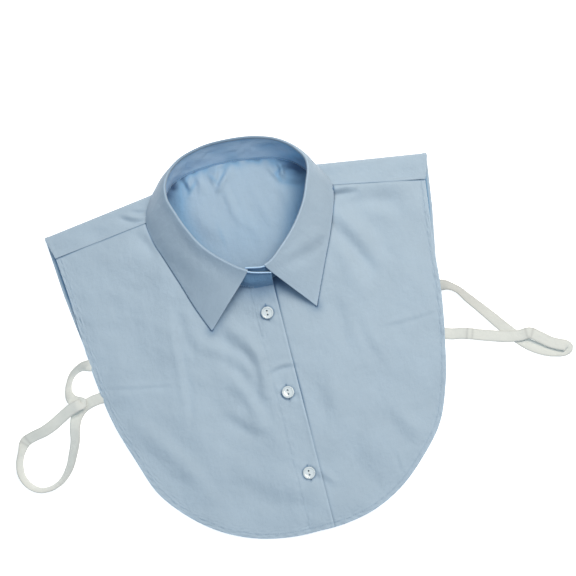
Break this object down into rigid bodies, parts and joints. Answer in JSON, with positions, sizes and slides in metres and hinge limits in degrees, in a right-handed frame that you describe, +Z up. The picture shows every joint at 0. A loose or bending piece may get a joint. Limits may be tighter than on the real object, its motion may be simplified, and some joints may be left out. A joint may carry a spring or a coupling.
{
  "type": "detachable collar",
  "caption": "Detachable cotton shirt collar with a buttoned bib front, a plain back and elastic side straps, lying face up.",
  "frame": {"origin": "middle of the underside, on the surface that the collar lies on", "axes": "+X along the shoulders to the viewer's right, +Y from the hem to the back of the neck, +Z up out of the laid front"},
  "size_m": [0.5204, 0.3692, 0.0386],
  "materials": {
    "cotton": "light blue plain-weave cotton, matt",
    "elastic": "white woven elastic, matt",
    "button": "white pearly resin, glossy"
  },
  "bodies": {
    "root": {"back_panel": "cotton", "front_panel_left": "cotton", "front_panel_right": "cotton", "collar_stand": "cotton", "collar_leaf": "cotton", "button_1": "button", "button_2": "button", "button_3": "button", "elastic_left": "elastic", "elastic_right": "elastic"}
  },
  "joints": []
}
